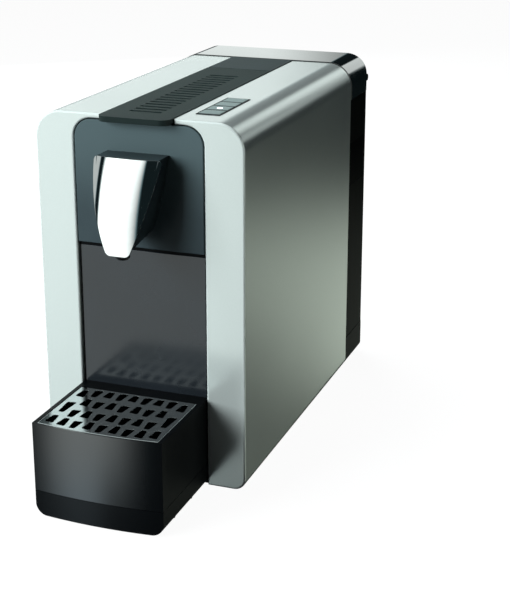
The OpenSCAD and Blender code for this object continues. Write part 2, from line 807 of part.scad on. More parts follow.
// ---- Water tank ----

module tank_seat() color([0.16, 0.17, 0.18]) {
    translate([0, valve_y, 0]) rotate_extrude() polygon([
        [0, 17], [11, 17], [11, tank_z], [8.6, tank_z], [8.6, 19], [0, 19]
    ]);
    straight([0, valve_y, hose_z], [0, valve_y - 11, hose_z], hose_r);
    straight([0, valve_y, hose_z - hose_r], [0, valve_y, 18], hose_r + 0.4);
}

module cord_gland() color([0.1, 0.1, 0.1])
    translate([cord_x, tank_back, cord_z]) rotate([90, 0, 0]) rotate_extrude() {
        span([cord_r, cord_r + 2.4], [0, 14]);
    }

module tank() color([0.1, 0.12, 0.12]) {
    difference() {
        union() {
            along_z([tank_z + gap, lid_z - 0.2]) tank_plan(0.2);
            // Lugs for the lid's pin
            both_sides() tank_lug(0);
        }
        difference() {
            along_z([tank_z + 3, lid_z + 10]) tank_plan(2.2);
            // Rim bead, ribs on the floor and the lugs' roots
            difference() {
                along_z([lid_z - 6, lid_z - 0.2]) tank_plan(2);
                along_z([lid_z - 7, lid_z]) tank_plan(3.2);
            }
            both_sides() tank_lug(0);
            for (x = [-46, -23, 23, 46]) box([x - 1, x + 1], [236, 278], [tank_z, tank_z + 6]);
        }
        translate([0, valve_y, tank_z - 1]) cylinder(h = 6, r = 7.6);
        both_sides() along_x([20, 60]) translate(lid_hinge) circle(1.3);
    }
}

lid_hinge = [tank_back - 3, lid_z + 3.4];

module tank_lug(grow) {
    along_x([40 - grow, 46 + grow]) union() {
        translate(lid_hinge) circle(3 + grow);
        span([lid_hinge[0] - 3 - grow, tank_back - 0.2], [lid_z - 3, lid_hinge[1]]);
    }
}

module tank_valve() color([0.75, 0.76, 0.74]) translate([0, valve_y, 0]) rotate_extrude() polygon([
    [2.5, 20.6], [7.6, 20.6], [7.6, 22.4], [6.4, 22.4], [6.4, 24.6], [7.6, 24.6],
    [7.6, tank_z + 3], [12, tank_z + 3], [12, tank_z + 5], [2.5, tank_z + 5]
]);

module valve_ring() color([0.15, 0.15, 0.15])
    translate([0, valve_y, 23.5]) rotate_extrude() translate([7.4, 0]) circle(1);

// Mesh cap over the outlet
module tank_filter() color([0.85, 0.86, 0.84]) translate([0, valve_y, tank_z + 5]) {
    difference() {
        cylinder(h = 18, r = 9);
        translate([0, 0, -1]) cylinder(h = 17.4, r = 7.8);
        for (a = [0 : 30 : 150], z = [3, 9]) rotate(a) translate([-12, -1, z]) cube([24, 2, 4]);
    }
}

module tank_lid() color([0.09, 0.1, 0.1]) {
    // Round bosses at the rear corners
    boss_r = 2.7;
    both_sides() along_x([66, half_w - 0.1])
        translate([tank_back - boss_r - 0.1, lid_z + 10.2]) circle(boss_r);
    difference() {
        lid_shell(0);
        lid_shell(2.2);
        both_sides() along_x([33.7, 52.2]) translate(lid_hinge) circle(1.3 + fit);
        both_sides() along_x([39.5, 46.5]) union() {
            translate(lid_hinge) circle(3.4);
            span([lid_hinge[0] - 3.4, tank_back + 1], [lid_z - 4, lid_hinge[1] + 3.4]);
        }
    }
    difference() {
        both_sides() for (x = [34, 46.6]) along_x([x, x + 5.3]) intersection() {
            union() {
                translate(lid_hinge) circle(3);
                span([lid_hinge[0], tank_back], [lid_hinge[1], lid_hinge[1] + 5]);
            }
            span([200, tank_back], [200, 300]);
        }
        along_x([-60, 60]) translate(lid_hinge) circle(1.3 + fit);
    }
}

// The lid's outer form, set in; its lower rear edge is round about the hinge
module lid_shell(inset) {
    intersection() {
        along_y([shell_d, tank_back]) shell_section(inset);
        along_z([lid_z + (inset > 0 ? -5 : 0.1), 260]) tank_plan(inset);
        along_x([-80, 80]) union() {
            span([200, lid_hinge[0]], [200, 300]);
            span([200, 300], [lid_hinge[1], 300]);
            translate(lid_hinge) circle(3);
        }
    }
}

module lid_pin() color([0.75, 0.76, 0.78])
    both_sides() along_x([34, 51.9]) translate(lid_hinge) circle(1.3);

// ---- Drawer ----

module drip_tray() color([0.15, 0.17, 0.18]) {
    difference() {
        union() {
            along_z([tray_floor, tray_top]) tray_plan(0, 0, 0);
            box([-44.2, 44.2], [-1, 112], [tray_floor, 41]);
            box([-44.2, 44.2], [-1, 2.8], [40, tray_top]);
        }
        // Recess that the grille lies in, then the trough under it
        along_z([tray_top - 3.3, tray_top + 1]) tray_plan(2.7, 1.3, rim_y);
        along_z([tray_floor + 2.2, tray_top - 3.2]) tray_plan(5, 3.4, -2);
        box([-42, 42], [2, 110], [tray_floor + 2.2, 50]);
        // Passages that let the bin drain forward
        for (x = [-26, 0, 26]) box([x - 9, x + 9], [-4, 4], [tray_floor + 2.2, 34]);
    }
    // Ribs on the floor of the trough
    for (x = [-24, 0, 24]) box([x - 0.8, x + 0.8], [-66, -12], [tray_floor + 2, tray_floor + 6]);
}

// Bin that used pods fall into: it stands on the rear of the tray
module pod_bin() color([0.3, 0.32, 0.33]) {
    difference() {
        union() {
            along_z([41, 43]) rounded([-44, 44], [5.3, 111], 2, 6);
            along_z([42, bin_top]) rounded([-41, 41], [5.3, 108], 2, 8);
            along_z([bin_top - 3, bin_top]) rounded([-42.5, 42.5], [5.3, 109.5], 2, 9);
        }
        along_z([43.2, bin_top + 1]) rounded([-39.2, 39.2], [7.1, 106.2], 2, 6.2);
        // Drain slots
        for (x = [-30 : 10 : 30]) box([x - 1.5, x + 1.5], [22, 92], [40, 44]);
    }
}

module bin_front() color([0.2, 0.23, 0.25]) {
    box([-44.6, 44.6], [2.8, 5.3], [43.2, 162]);
    both_sides() box([41.6, 43.2], [5.3, 12], [46, 156]);
}

// Perforated chromed plate with a folded rim
module cup_grille() color([0.8, 0.82, 0.83]) {
    difference() {
        along_z([tray_top - 3, tray_top]) tray_plan(3, 1.6, rim_y - gap);
        along_z([tray_top - 4, tray_top - 1.4]) tray_plan(4.4, 3, rim_y - gap - 1.4);
        along_z([tray_top - 4, tray_top + 1]) intersection() {
            tray_plan(5.2, 3.8, rim_y - gap - 2.2);
            grille_holes();
        }
    }
}

// Point on the way from a to b, this far from a
function toward(a, b, far) = a + far * (b - a) / norm(b - a);

// Tapered slot with cut corners
module grille_slot(half) {
    cut = 0.8;
    a = [-1.8, half];
    b = [2.1, half];
    c = [3.4, -half];
    d = [-3, 0.9 - half];
    polygon([
        toward(a, d, cut), toward(a, b, cut), toward(b, a, cut), toward(b, c, cut),
        toward(c, b, cut), toward(c, d, cut), toward(d, c, cut), toward(d, a, cut)
    ]);
}

// Columns of tapered slots that point forward and back in turn
module grille_holes() {
    pitch = 9;
    for (i = [-4 : 4]) {
        edge = abs(i) == 4;
        rows = edge ? [-20, -41.5, -62.5] : [-16, -32.5, -49.5, -64.5];
        for (k = [0 : len(rows) - 1]) {
            turn = (i + k + 8) % 2 == 0 ? 1 : -1;
            translate([pitch * i, rows[k] + turn * 0.7]) scale([1, turn])
                grille_slot(edge && k == 1 ? 8.4 : 5.8);
        }
    }
}

// ---- Keys ----

module keypad_bezel() color([0.08, 0.08, 0.09]) {
    difference() {
        union() {
            box(pad_x, pad_y, [246, machine_top - 0.1]);
            box(pad_x + [-2, 2], pad_y + [-2, 2], [strip_z - 2, strip_z]);
        }
        for (i = [0 : key_count - 1])
            box(pad_x + [pad_rim, -pad_rim],
                [pad_y[0] + key_pitch * i + pad_rim, pad_y[0] + key_pitch * (i + 1)], [240, 260]);
    }
    // Pegs that hold the key board
    for (x = pad_x + [-0.5, 0.5], y = pad_y + [6, -6]) translate([x, y, 242]) cylinder(h = 5.5, r = 1.4);
}

module key_board() color([0.1, 0.35, 0.22]) {
    box(pad_x + [-2.5, 2.5], pad_y + [-2, 2], [240.4, 242]);
    // Tact switches
    for (i = [0 : key_count - 1]) translate([40.25, key_y(i), 242]) {
        translate([-3, -3, 0]) cube([6, 6, 2]);
        cylinder(h = 2.8, r = 1.7);
    }
}

// Middle of key i along Y
function key_y(i) = pad_y[0] + (pad_rim + key_pitch) / 2 + key_pitch * i;

module key(i) color([0.45, 0.49, 0.48]) {
    half = (key_pitch - pad_rim) / 2 - gap;
    difference() {
        translate([0, key_y(i), 0]) {
            box(pad_x + [pad_rim + gap, -pad_rim - gap], [-half, half], [249.6, machine_top]);
            translate([40.25, 0, 246.1]) cylinder(h = 4, r = 2.2);
        }
        if (i == 1) translate([40.25, key_y(i), machine_top - 1]) cylinder(h = 2, r = 2);
    }
}

module key_light() color([0.95, 0.97, 1])
    translate([40.25, key_y(1), machine_top - 1]) cylinder(h = 1, r = 2);

// ---- Fasteners ----

module screws() color([0.6, 0.61, 0.63]) {
    for (x = [-60, 60], y = screw_y) translate([x, y, 0]) {
        translate([0, 0, 1]) cylinder(h = shell_z - 1, r = 3.1);
        translate([0, 0, 2]) cylinder(h = 12, r = 1.5);
    }
    both_sides() for (y = frame_screw_y) translate([37, y, 0]) {
        translate([0, 0, bay_top - 2.2]) cylinder(h = 6, r = 1.6);
        translate([0, 0, bay_top + 3]) cylinder(h = 2, r = 3);
    }
    for (x = [-14, 14], y = [140, 204]) translate([x, y, 0]) {
        translate([0, 0, 144]) cylinder(h = 22, r = 1.5);
        translate([0, 0, bay_top]) cylinder(h = 2, r = 3);
    }
}

to_origin() {
    base_pan();
    tray_plinth();
    tank_ledge();
    feet();
    drawer_bay();
    side_panel_left();
    side_panel_right();
    rear_wall();
    front_panel();
    spout_housing();
    spout_cover();
    spout_nozzle();
    top_channel();
    hinge_cover();
    lever_pin();
    keypad_bezel();
    key_board();
    brew_frame();
    brew_head();
    head_seal();
    inlet_sleeve();
    boiler();
    pump();
    pump_mounts();
    flow_meter();
    control_board();
    suction_hose();
    feed_hose();
    pressure_hose();
    hot_hose();
    tank_seat();
    cord_gland();
    screws();
    lever();
    crank_pin();
    toggle_links();
    link_pin();
    brew_chamber();
    tank();
    tank_valve();
    valve_ring();
    tank_filter();
    tank_lid();
    lid_pin();
    drip_tray();
    pod_bin();
    bin_front();
    cup_grille();
    key(0);  // key_1
    key(1);  // key_2
    key(2);  // key_3
    key(3);  // key_4
    key_light();
}
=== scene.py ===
# %% [markdown]
# # Pod coffee machine
# A narrow upright machine between two silver side panels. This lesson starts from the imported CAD
# model, which fixes every size and every joint, and gives each piece its edges and its finish.
# Lengths are in metres. The table is at z = 0 and the drip tray points along -Y.

# %% Load the frame
import json
import math

import bmesh
import bpy
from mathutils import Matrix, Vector


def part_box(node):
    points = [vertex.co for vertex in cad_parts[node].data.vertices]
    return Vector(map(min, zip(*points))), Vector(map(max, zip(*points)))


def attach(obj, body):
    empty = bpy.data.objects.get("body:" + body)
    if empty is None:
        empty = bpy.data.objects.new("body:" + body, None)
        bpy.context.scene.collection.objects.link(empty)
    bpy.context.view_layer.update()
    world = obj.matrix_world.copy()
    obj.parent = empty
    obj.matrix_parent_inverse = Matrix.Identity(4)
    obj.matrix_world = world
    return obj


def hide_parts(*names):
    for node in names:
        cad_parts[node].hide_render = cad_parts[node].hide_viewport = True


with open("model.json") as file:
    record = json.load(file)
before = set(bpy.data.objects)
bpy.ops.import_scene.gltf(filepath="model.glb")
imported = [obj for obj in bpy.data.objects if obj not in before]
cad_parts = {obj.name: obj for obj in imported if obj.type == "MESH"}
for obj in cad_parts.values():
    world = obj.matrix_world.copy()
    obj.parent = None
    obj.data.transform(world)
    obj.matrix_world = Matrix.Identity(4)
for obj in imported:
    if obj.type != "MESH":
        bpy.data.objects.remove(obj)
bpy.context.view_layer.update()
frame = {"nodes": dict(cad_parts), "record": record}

# %% [markdown]
# ## Measures shared by the cells
# The CAD nodes say where everything is, so a few of their boxes are read once. `at` turns
# millimetres, counted from the front of the silver panels, into a point of the frame.

# %% Measures
MM = 0.001
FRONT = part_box("side_panel_right")[0].y
LID_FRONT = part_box("tank_lid")[0].y
LEVER_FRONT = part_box("lever")[0].y
SHELL_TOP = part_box("side_panel_right")[1].z


def at(x, y, z):
    return Vector((x * MM, FRONT + y * MM, z * MM))


print("front of the panels", round(FRONT, 4), "top of the shell", round(SHELL_TOP, 4))

# %% [markdown]
# ## Camera
# The machine is seen from its right front corner and from above. A long lens keeps the uprights
# nearly parallel. The small vertical shift lets the camera tilt down a little less.

# %% Camera
SENSOR = 36.0
LENS_PIXELS = 1370.7
LONG_SIDE_PIXELS = 600
CAMERA_SPOT = at(363.0, -770.7, 429.1)
CAMERA_DIP = math.radians(17.47)
CAMERA_TURN = math.radians(20.209)
CAMERA_SHIFT = -0.08

camera_data = bpy.data.cameras.new("camera")
camera_data.sensor_width = SENSOR
camera_data.lens = LENS_PIXELS / LONG_SIDE_PIXELS * SENSOR
camera_data.shift_y = CAMERA_SHIFT
camera = bpy.data.objects.new("camera", camera_data)
camera.location = CAMERA_SPOT
camera.rotation_euler = (math.pi / 2 - CAMERA_DIP, 0, CAMERA_TURN)
bpy.context.scene.collection.objects.link(camera)
bpy.context.scene.camera = camera
print("lens", round(camera_data.lens, 1), "mm")

# %% [markdown]
# ## Shader arithmetic
# Nodes wired one by one are hard to read. `Value` wraps a socket, so that `1 - mask * 0.4` adds
# its Math nodes by itself. `step` and `within` make the soft masks that the finishes and the
# studio are painted with.

# %% Value
class Value:
    """A shader socket that Python arithmetic works on."""

    def __init__(self, shades, socket):
        self.shades = shades
        self.socket = socket

    def math(self, operation, *values):
        return self.shades.node("ShaderNodeMath", {"operation": operation}, dict(enumerate(values)))

    def __add__(self, other):
        return self.math("ADD", self, other)

    def __sub__(self, other):
        return self.math("SUBTRACT", self, other)

    def __rsub__(self, other):
        return self.math("SUBTRACT", other, self)

    def __mul__(self, other):
        return self.math("MULTIPLY", self, other)

    def __abs__(self):
        return self.math("ABSOLUTE", self)

    __radd__ = __add__
    __rmul__ = __mul__

    def step(self, low, high):
        """0 below low, 1 above high, and a soft S between them."""
        settings = {"interpolation_type": "SMOOTHSTEP"}
        return self.shades.node("ShaderNodeMapRange", settings, {0: self, 1: low, 2: high})

    def within(self, low, high, soft):
        """1 between low and high, and 0 outside, with edges that soft wide."""
        return self.step(low, low + soft) * self.step(high, high - soft)


print("Value is ready, with step and within for masks")

# %% [markdown]
# ## Materials as objects
# `Shades` is any node tree, with one method that adds any node: its type, its settings and what
# feeds its sockets. `Finish` is one material, always patterned on Object coordinates, so that a
# pattern stays on its piece when a joint moves.

# %% Shades and Finish
class Shades:
    """A node tree and the coordinates that its patterns follow."""

    def __init__(self, tree, coordinates):
        self.tree = tree
        self.place = self.node("ShaderNodeTexCoord", out=coordinates)

    def feed(self, socket, value):
        if isinstance(value, Value):
            self.tree.links.new(value.socket, socket)
        else:
            socket.default_value = value

    def node(self, kind, settings=None, sockets=None, out=0):
        made = self.tree.nodes.new(kind)
        for name, value in (settings or {}).items():
            setattr(made, name, value)
        for key, value in (sockets or {}).items():
            self.feed(made.inputs[key], value)
        return Value(self, made.outputs[out])

    def axes(self):
        """The X, Y and Z of the coordinates."""
        return [self.node("ShaderNodeSeparateXYZ", {}, {0: self.place}, out) for out in range(3)]

    def mix(self, factor, low, high):
        """The colour low where factor is 0 and high where it is 1."""
        return self.node("ShaderNodeMix", {"data_type": "RGBA"}, {0: factor, 6: low, 7: high}, 2)

    def rays(self, *kinds):
        """1 for rays of any of these kinds, such as Is Camera Ray."""
        return sum(self.node("ShaderNodeLightPath", out=kind) for kind in kinds)


class Finish(Shades):
    """One procedural material, patterned on Object coordinates."""

    def __init__(self, name):
        self.material = bpy.data.materials.new(name)
        self.material.use_nodes = True
        super().__init__(self.material.node_tree, "Object")
        self.shader = self.tree.nodes["Principled BSDF"]

    def noise(self, size, detail=2.0, stretch=(1, 1, 1)):
        """Cloudy noise whose blobs are about size metres across."""
        scaled = self.node("ShaderNodeMapping", {}, {0: self.place, 3: stretch})
        sockets = {"Vector": scaled, "Scale": 1 / size, "Detail": detail}
        return self.node("ShaderNodeTexNoise", {}, sockets)

    def bump(self, height, depth):
        return self.node("ShaderNodeBump", {}, {"Strength": 1.0, "Distance": depth, "Height": height})

    def set(self, **sockets):
        """Feeds the main shader: base_color=..., roughness=... and so on."""
        for name, value in sockets.items():
            self.feed(self.shader.inputs[name.replace("_", " ").title().replace("Ior", "IOR")], value)


def linear(level):
    """One channel of a display colour, from 0 to 255, in the linear scale that shaders take."""
    level /= 255
    return level / 12.92 if level <= 0.04045 else ((level + 0.055) / 1.055) ** 2.4


def tone(red, green, blue):
    return (linear(red), linear(green), linear(blue), 1.0)


def shaded_tone(colour, share):
    """The colour with every channel multiplied by share."""
    return tuple(min(1, channel * share) for channel in colour[:3]) + (1.0,)


print("mid grey is", round(linear(128), 3), "in the linear scale")

# %% [markdown]
# ## Moulded plastics
# Real plastic is never one even colour. Each finish has a fine grain in its bump, a slow cloud of
# wear in its roughness, and a slight change of colour. `shine` is the Specular IOR Level: plastic
# that should stay dark under the bright screens has a low one.

# %% Moulded plastics
CLOUD_SIZE = 0.045
WORN = 0.12
COAT_ROUGHNESS = 0.12


def moulded(name, colour, rough, grain, depth, coat=0.0, haze=0.06, shine=0.5):
    """Moulded plastic: grain is the size of its texture and depth its height, both in metres."""
    made = Finish(name)
    cloud = made.noise(CLOUD_SIZE, 3)
    speck = made.noise(grain, 2)
    dark, light = shaded_tone(colour, 1 - WORN), shaded_tone(colour, 1 + WORN)
    made.colour = made.mix(cloud.step(0.3, 0.7), dark, light)
    made.set(
        base_color=made.colour,
        roughness=rough - haze + cloud * haze + speck * haze,
        normal=made.bump(speck, depth),
        coat_weight=coat,
        coat_roughness=COAT_ROUGHNESS,
        specular_ior_level=shine,
    )
    print(name)
    return made


charcoal = moulded("charcoal_plastic", tone(60, 71, 75), 0.3, 0.0006, 0.00001, 0.02, shine=0.06)
lower_charcoal = moulded("lower_charcoal_plastic", tone(30, 35, 40), 0.2, 0.0008, 0.00001, 0.2)
lever_matte = moulded("lever_plastic", tone(34, 44, 43), 0.55, 0.0005, 0.00005, shine=0.12)
cover_matte = moulded("cover_plastic", tone(40, 50, 51), 0.5, 0.0005, 0.00004, shine=0.12)
black = moulded("black_plastic", tone(14, 16, 18), 0.4, 0.0007, 0.00003, shine=0.12)
well_black = moulded("well_plastic", tone(18, 19, 21), 0.5, 0.0007, 0.00003)
inner = moulded("inner_plastic", tone(15, 16, 17), 0.5, 0.0012, 0.00004, shine=0.05)
smoked = moulded("smoked_plastic", tone(28, 31, 30), 0.25, 0.004, 0.00001, shine=0.002)
lid_black = moulded("lid_plastic", tone(14, 17, 17), 0.07, 0.004, 0.000004, 1.0, haze=0.02)
ledge_black = moulded("ledge_plastic", tone(6, 7, 7), 0.4, 0.0007, 0.00003, shine=0.01)
key_grey = moulded("key_plastic", tone(122, 136, 134), 0.5, 0.0004, 0.00002, shine=0.1)
spout_black = moulded("spout_plastic", tone(40, 50, 53), 0.3, 0.0006, 0.00001, shine=0.3)
tray_black = moulded("tray_plastic", tone(7, 9, 11), 0.4, 0.0007, 0.00002, shine=0.06)
plinth_black = moulded("plinth_plastic", tone(7, 9, 11), 0.4, 0.0007, 0.00002, shine=0.06)
rubber = moulded("rubber_black", tone(26, 26, 27), 0.75, 0.0006, 0.00005)
seal = moulded("seal_red", tone(170, 60, 48), 0.55, 0.0009, 0.00003)
silicone = moulded("hose_silicone", tone(214, 216, 210), 0.35, 0.003, 0.00003)
pump_body = moulded("pump_plastic", tone(50, 56, 66), 0.42, 0.0008, 0.00004)

# %% [markdown]
# ## Painted light and shade on the front panel and the lever
# A second colour can be mixed in by height or by place, so one finish serves a whole piece. The
# front panel is painted paler towards its top, a painted sheen of light from above. The grooves of
# the lever are painted black inside as shade: they begin behind its nose and end short of its sides.

# %% Painted sheen on the front and painted shade in the grooves
PAINTED_SHEEN_Z = (175 * MM, 240 * MM)
NOSE_LENGTH = 7 * MM
GROOVE_HALF = 11.4 * MM

painted_top_sheen = charcoal.axes()[2].step(*PAINTED_SHEEN_Z)
# painted sheen: the base colour grows paler towards the top, standing in for light from above
charcoal.set(base_color=charcoal.mix(painted_top_sheen, charcoal.colour, tone(82, 97, 100)))

groove_x, groove_y, groove_z = lever_matte.axes()
behind_nose = groove_y.step(LEVER_FRONT + NOSE_LENGTH, LEVER_FRONT + NOSE_LENGTH + 1 * MM)
below_top = groove_z.step(SHELL_TOP - 0.2 * MM, SHELL_TOP - 0.6 * MM)
between_sides = abs(groove_x).step(GROOVE_HALF + 0.2 * MM, GROOVE_HALF - 0.2 * MM)
painted_groove_shade = behind_nose * below_top * between_sides
# painted shade: the groove floors are coloured near-black, standing in for the shade in the recesses
lever_matte.set(base_color=lever_matte.mix(painted_groove_shade, lever_matte.colour, tone(6, 7, 7)))
print("the grooves start", round(NOSE_LENGTH / MM, 1), "mm behind the front of the lever")

# %% [markdown]
# ## Zones on the keys, the lid and the tank
# A dark line along the front of each key stands for the shade in its gap. The lid is polished all
# over, except for a narrow dull strip at its front, which reads as the seam to the shell. The tank
# is smoked and darkest where its filling neck stands behind the wall, and only its back is glossy.

# %% Keys, lid and tank
LID_STRIP = 1.6 * MM
LID_ROUGH, LID_POLISHED = 0.5, 0.07
NECK_Z = (154 * MM, 190 * MM)
TANK_BACK = FRONT + 279 * MM

key_y = key_grey.axes()[1]
key_fronts = [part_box(f"key_{number}")[0].y for number in range(1, 5)]
in_gap = sum(key_y.within(front - 0.1 * MM, front + 0.75 * MM, 0.25 * MM) for front in key_fronts)
key_grey.set(base_color=key_grey.mix(in_gap, key_grey.colour, tone(40, 48, 48)))

on_lid = lid_black.axes()[1].step(LID_FRONT + LID_STRIP, LID_FRONT + LID_STRIP + 0.6 * MM)
lid_black.set(coat_weight=on_lid, coat_roughness=0.05)
lid_black.set(roughness=LID_ROUGH - on_lid * (LID_ROUGH - LID_POLISHED))

tank_y, tank_z = smoked.axes()[1:]
neck = tank_z.within(*NECK_Z, 1.5 * MM)
at_back = tank_y.step(TANK_BACK - 5 * MM, TANK_BACK)
smoked.set(base_color=smoked.mix(neck, smoked.colour, tone(4, 5, 7)), coat_weight=at_back)
print("seams of", len(key_fronts), "keys")

# %% [markdown]
# ## Zone on the drawer front
# The drawer and the plinth under it are satin all round, but their bowed front is polished. The
# polish is strongest a little left of the middle and fades to both sides, which draws one soft
# upright streak.

# %% Drawer front
BOW_BACK = FRONT - 65 * MM
STREAK_X = -6 * MM
STREAK_HALF = 58 * MM

for polished, gloss in ((tray_black, 1.0), (plinth_black, 0.15)):
    bow_x, bow_y = polished.axes()[:2]
    on_bow = bow_y.step(BOW_BACK, BOW_BACK - 3 * MM)
    streak = abs(bow_x - STREAK_X).step(STREAK_HALF, 4 * MM)
    polished.set(coat_weight=on_bow * streak * gloss, coat_ior=1.85)
print("streak", round(STREAK_X / MM, 1), "mm from the middle")

# %% [markdown]
# ## Lacquer and metals
# The silver of the side panels is a satin lacquer: metal flakes under a clear coat. The cup grille
# and the spout cover are plated plastic, a mirror with the faintest ripple.

# %% Metals
def metal(name, colour, rough, flake, depth, metallic=1.0, coat=0.0, haze=0.05, stretch=(1, 1, 1)):
    """Metal, plating or metallic lacquer: flake is the size of its grain and depth its height."""
    made = Finish(name)
    cloud = made.noise(0.07, 2)
    speck = made.noise(flake, 1, stretch)
    made.set(
        base_color=made.mix(speck.step(0.3, 0.7), shaded_tone(colour, 0.96), colour),
        metallic=metallic,
        roughness=rough - haze / 2 + cloud * haze,
        normal=made.bump(speck, depth),
        coat_weight=coat,
        coat_roughness=0.1,
    )
    print(name)
    return made


SILVER_FLAKES = 0.55
silver = metal("silver_lacquer", tone(212, 220, 217), 0.24, 0.0004, 0.000004, SILVER_FLAKES, 0.05)
chrome = metal("chromed_plastic", tone(246, 248, 248), 0.05, 0.006, 0.000004, haze=0.02)
grille_chrome = metal("grille_chrome", tone(200, 206, 208), 0.14, 0.003, 0.000006, haze=0.05)
steel = metal("steel", tone(190, 192, 196), 0.3, 0.0006, 0.00001, stretch=(1, 8, 8))
cast_metal = metal("boiler_metal", tone(176, 178, 180), 0.5, 0.0012, 0.00005, haze=0.1)
brass = metal("brass_fitting", tone(206, 170, 96), 0.28, 0.0007, 0.00001)

# %% [markdown]
# ## Pillars
# The front faces of the pillars hold fewer flakes than the tall sides, so that they stay pale and
# even. The rounded edge round them holds fewest of all: it would mirror the side screen as a hard
# bright line.

# %% Pillars
silver_y = silver.axes()[1]
front_face = silver_y.step(FRONT + 1.5 * MM, FRONT + 0.5 * MM)
front_edge = silver_y.within(FRONT + 0.03 * MM, FRONT + 0.8 * MM, 0.02 * MM)
silver.set(metallic=SILVER_FLAKES - front_face * 0.15 - front_edge * 0.35)
print("flakes on the sides", SILVER_FLAKES)

# %% [markdown]
# ## Light and board
# The lit key has a small clear lens that glows by itself. The boards inside are green laminate.

# %% Light and board
board = moulded("board_green", tone(30, 104, 62), 0.35, 0.0009, 0.00004, 0.4)

LENS_GLOW = 1.6
lens = Finish("light_lens")
lens_glow = lens.noise(0.0008, 1)
lens.set(
    base_color=lens.mix(lens_glow, tone(225, 232, 238), tone(245, 250, 255)),
    roughness=0.3 + lens_glow * 0.1,
    emission_color=lens.mix(lens_glow, tone(225, 238, 255), tone(255, 255, 255)),
    emission_strength=LENS_GLOW,
)
print("the lens glows at", LENS_GLOW)

# %% [markdown]
# ## Which finish a CAD node takes
# The record gives each node a material slot. Nodes keep their exact shape and take the finish of
# their slot; the pieces that show are then modelled again with rounded edges.

# %% Dress the nodes
FINISH_OF_SLOT = {
    "gloss_black": lid_black,
    "silver_lacquer": silver, "charcoal_plastic": charcoal, "lever_plastic": lever_matte,
    "black_plastic": black, "inner_plastic": inner, "chromed_plastic": chrome,
    "smoked_plastic": smoked, "key_plastic": key_grey, "light_lens": lens, "steel": steel,
    "boiler_metal": cast_metal, "brass_fitting": brass, "rubber_black": rubber, "seal_red": seal,
    "hose_silicone": silicone, "board_green": board, "pump_plastic": pump_body,
}
slot_of_node = {part["node"]: part["material_slot"] for part in frame["record"]["subparts"]}
for node_name, node_object in frame["nodes"].items():
    node_object.data.materials.clear()
    node_object.data.materials.append(FINISH_OF_SLOT[slot_of_node[node_name]].material)
print("dressed", len(frame["nodes"]), "nodes")

# %% [markdown]
# ## Soft edges
# No moulding has a perfectly sharp edge: the small radius is what catches the light and makes a
# part look real. A CAD mesh comes as loose triangles, so its copy is merged, its flat areas are
# joined into single faces, and then every edge that turns sharply is bevelled.

# %% Edges
SHARP = math.radians(32)
FLAT = math.radians(0.4)


def cad_copy(node):
    """A merged bmesh of a CAD node, its flat areas joined into single faces."""
    bm = bmesh.new()
    bm.from_mesh(frame["nodes"][node].data)
    bmesh.ops.remove_doubles(bm, verts=bm.verts, dist=0.01 * MM)
    bmesh.ops.dissolve_limit(bm, angle_limit=FLAT, verts=bm.verts, edges=bm.edges)
    return bm


def bends(edge, least=SHARP):
    return len(edge.link_faces) == 2 and edge.calc_face_angle(0) > least


def round_edges(bm, width, segments, where=None, least=SHARP):
    """Bevels the edges that bend by more than that angle, all or those whose ends pass the test."""
    edges = [e for e in bm.edges if bends(e, least) and (where is None or all(map(where, e.verts)))]
    bmesh.ops.bevel(
        bm, geom=edges, offset=width, offset_type="OFFSET", affect="EDGES", segments=segments,
        profile=0.5, clamp_overlap=True, material=-1,
    )
    bmesh.ops.remove_doubles(bm, verts=bm.verts, dist=0.002 * MM)


print("edges sharper than", round(math.degrees(SHARP)), "degrees get rounded")

# %% [markdown]
# ## Pieces
# A finished bmesh becomes a piece: an object that stands for one CAD node, rides on that node's
# body and takes the finish it is given, so every joint carries the rounded shape along.

# %% Pieces
def body_of(node):
    return next(body for body, nodes in frame["record"]["behaviour"]["bodies"].items() if node in nodes)


def piece(name, bm, finish, node):
    """Turns a bmesh into a piece that stands for a CAD node and rides on the node's body."""
    mesh = bpy.data.meshes.new(name)
    bm.to_mesh(mesh)
    bm.free()
    for polygon in mesh.polygons:
        polygon.use_smooth = True
    mesh.set_sharp_from_angle(angle=SHARP)
    mesh.materials.append(finish.material)
    made = bpy.data.objects.new(name, mesh)
    bpy.context.scene.collection.objects.link(made)
    weighted = made.modifiers.new("flat faces stay flat", "WEIGHTED_NORMAL")
    weighted.keep_sharp = True
    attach(made, body_of(node))
    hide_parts(node)
    print(name, len(mesh.vertices), "vertices")


def softened(name, node, finish, width, segments=2):
    """A CAD node's own shape with edges rounded by that width, in millimetres."""
    bm = cad_copy(node)
    round_edges(bm, width * MM, segments)
    piece(name, bm, finish, node)


# %% [markdown]
# ## Silver side panels
# Each panel is one moulding: front pillar, tall side and rounded top. Its front edges have a
# bigger radius than the rest, so the pillars look soft from the front and crisp at the sides.

# %% Side panels
def on_panel_front(vertex):
    return vertex.co.y < FRONT + 0.1 * MM


def silver_panel(name, node):
    bm = cad_copy(node)
    round_edges(bm, 1.3 * MM, 4, on_panel_front)
    round_edges(bm, 0.35 * MM, 2)
    piece(name, bm, silver, node)


silver_panel("silver_panel_left", "side_panel_left")
silver_panel("silver_panel_right", "side_panel_right")

# %% [markdown]
# ## Dark front and drawer
# The front panel and the face of the pod bin close the space between the pillars. The drip tray
# stands in front, with its bowed face, above a fixed plinth. A dull black ledge carries the tank at
# the back.

# %% Front, drawer and base
softened("front_panel_face", "front_panel", charcoal, 0.6, 3)
softened("bin_face", "bin_front", lower_charcoal, 0.5, 3)
softened("tray_tub", "drip_tray", tray_black, 0.5, 2)
softened("plinth", "tray_plinth", plinth_black, 0.5, 2)
softened("tank_foot_ledge", "tank_ledge", ledge_black, 0.5, 2)

# %% [markdown]
# ## Cup grille
# The grille is a plated plate with slots. The upper edge of its rim has a bigger radius than the
# slots, so it draws a thin line of light all round. The rim is found by its place: close to the
# sides of the tray, or close to the arc of its bowed front.

